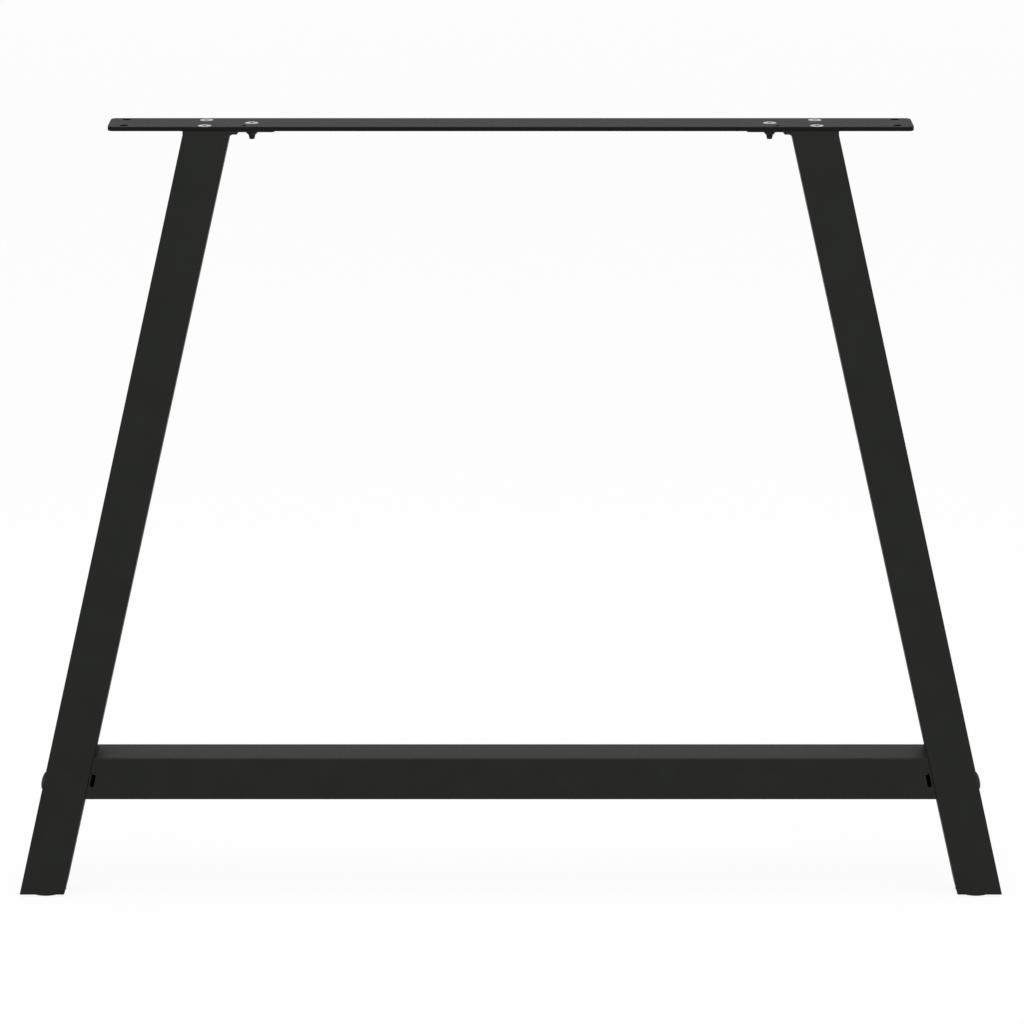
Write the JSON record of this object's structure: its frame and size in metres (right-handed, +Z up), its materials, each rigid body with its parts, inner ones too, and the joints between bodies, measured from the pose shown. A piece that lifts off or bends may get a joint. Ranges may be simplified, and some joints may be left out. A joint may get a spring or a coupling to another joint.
{
  "type": "trestle table leg",
  "caption": "Black A-frame steel table leg: two slanted square tubes, a low crossbar and a flat drilled top plate.",
  "frame": {"origin": "floor level, midway between the two feet and midway through the depth", "axes": "+X along the top plate, +Y from the front to the back, +Z up towards the table top"},
  "size_m": [0.9046, 0.04, 0.72],
  "materials": {
    "coated_steel": "matt black powder coat",
    "zinc_steel": "bright zinc plate",
    "black_plastic": "moulded black plastic"
  },
  "bodies": {
    "root": {"top_plate": "coated_steel", "crossbar": "coated_steel", "left_leg_tube": "coated_steel", "left_head_plate": "coated_steel", "left_bar_end_plate": "coated_steel", "left_leg_screw_front": "zinc_steel", "left_leg_screw_back": "zinc_steel", "left_tongue_screw": "zinc_steel", "left_joint_bolt": "zinc_steel", "left_joint_nut": "zinc_steel", "left_hole_cap": "black_plastic", "left_foot_plug": "black_plastic", "left_glide_pad": "black_plastic", "right_leg_tube": "coated_steel", "right_head_plate": "coated_steel", "right_bar_end_plate": "coated_steel", "right_leg_screw_front": "zinc_steel", "right_leg_screw_back": "zinc_steel", "right_tongue_screw": "zinc_steel", "right_joint_bolt": "zinc_steel", "right_joint_nut": "zinc_steel", "right_hole_cap": "black_plastic", "right_foot_plug": "black_plastic", "right_glide_pad": "black_plastic"}
  },
  "joints": []
}
